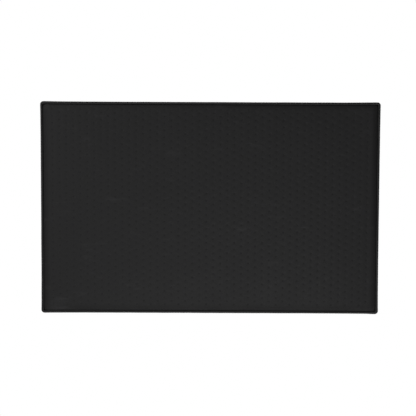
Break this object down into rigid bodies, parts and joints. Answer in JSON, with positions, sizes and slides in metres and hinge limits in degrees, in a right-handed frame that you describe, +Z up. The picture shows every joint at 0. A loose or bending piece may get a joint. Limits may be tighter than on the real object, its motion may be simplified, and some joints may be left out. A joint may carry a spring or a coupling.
{
  "type": "wall punch pad",
  "caption": "Flat padded striking pad in piped, dotted black vinyl over foam and a board, that lifts on and off a hooked wall rail.",
  "frame": {"origin": "centre of the wall rail's back face, where it meets the wall, on the line of its screw holes", "axes": "+Z up, +X along the pad, +Y into the wall; the struck face looks along -Y"},
  "size_m": [0.484, 0.0645, 0.303],
  "materials": {
    "face_vinyl": "matt black coated vinyl with a fine staggered pattern of round dimples",
    "band_vinyl": "matt black coated vinyl with a fine leather grain",
    "piping_vinyl": "satin black coated vinyl, stretched smooth over a cord",
    "piping_cord": "off-white solid PVC welt cord",
    "impact_foam": "dark grey closed-cell EVA foam, skived",
    "rebond_foam": "chipped and re-bonded polyurethane foam in mixed colours",
    "plywood": "unfinished birch plywood",
    "nonwoven": "black spun-bonded upholstery backing cloth",
    "rail_aluminium": "mill-finish extruded aluminium with die lines",
    "zinc_steel": "bright zinc-plated steel",
    "bumper_rubber": "matt moulded black rubber",
    "nickel_brass": "nickel-plated brass"
  },
  "bodies": {
    "wall_side": {"wall_rail": "rail_aluminium"},
    "pad": {"pad_rail": "rail_aluminium", "rail_screw_1": "zinc_steel", "rail_screw_2": "zinc_steel", "rail_screw_3": "zinc_steel", "rail_screw_4": "zinc_steel", "t_nut_1": "zinc_steel", "t_nut_2": "zinc_steel", "t_nut_3": "zinc_steel", "t_nut_4": "zinc_steel", "backing_board": "plywood", "dust_cover": "nonwoven", "bumper_left": "bumper_rubber", "bumper_right": "bumper_rubber", "bumper_screw_left": "zinc_steel", "bumper_screw_right": "zinc_steel", "core_foam": "rebond_foam", "impact_foam": "impact_foam", "side_band": "band_vinyl", "face_panel": "face_vinyl", "welt_strip": "piping_vinyl", "welt_cord": "piping_cord", "vent_eyelet_left_top": "nickel_brass", "vent_washer_left_top": "nickel_brass", "vent_eyelet_left_bottom": "nickel_brass", "vent_washer_left_bottom": "nickel_brass", "vent_eyelet_right_top": "nickel_brass", "vent_washer_right_top": "nickel_brass", "vent_eyelet_right_bottom": "nickel_brass", "vent_washer_right_bottom": "nickel_brass"}
  },
  "joints": [
    {"name": "lift_off", "type": "slide", "parent": "wall_side", "child": "pad", "axis": [0, 0, 1], "range_m": [0, 0.014]}
  ]
}
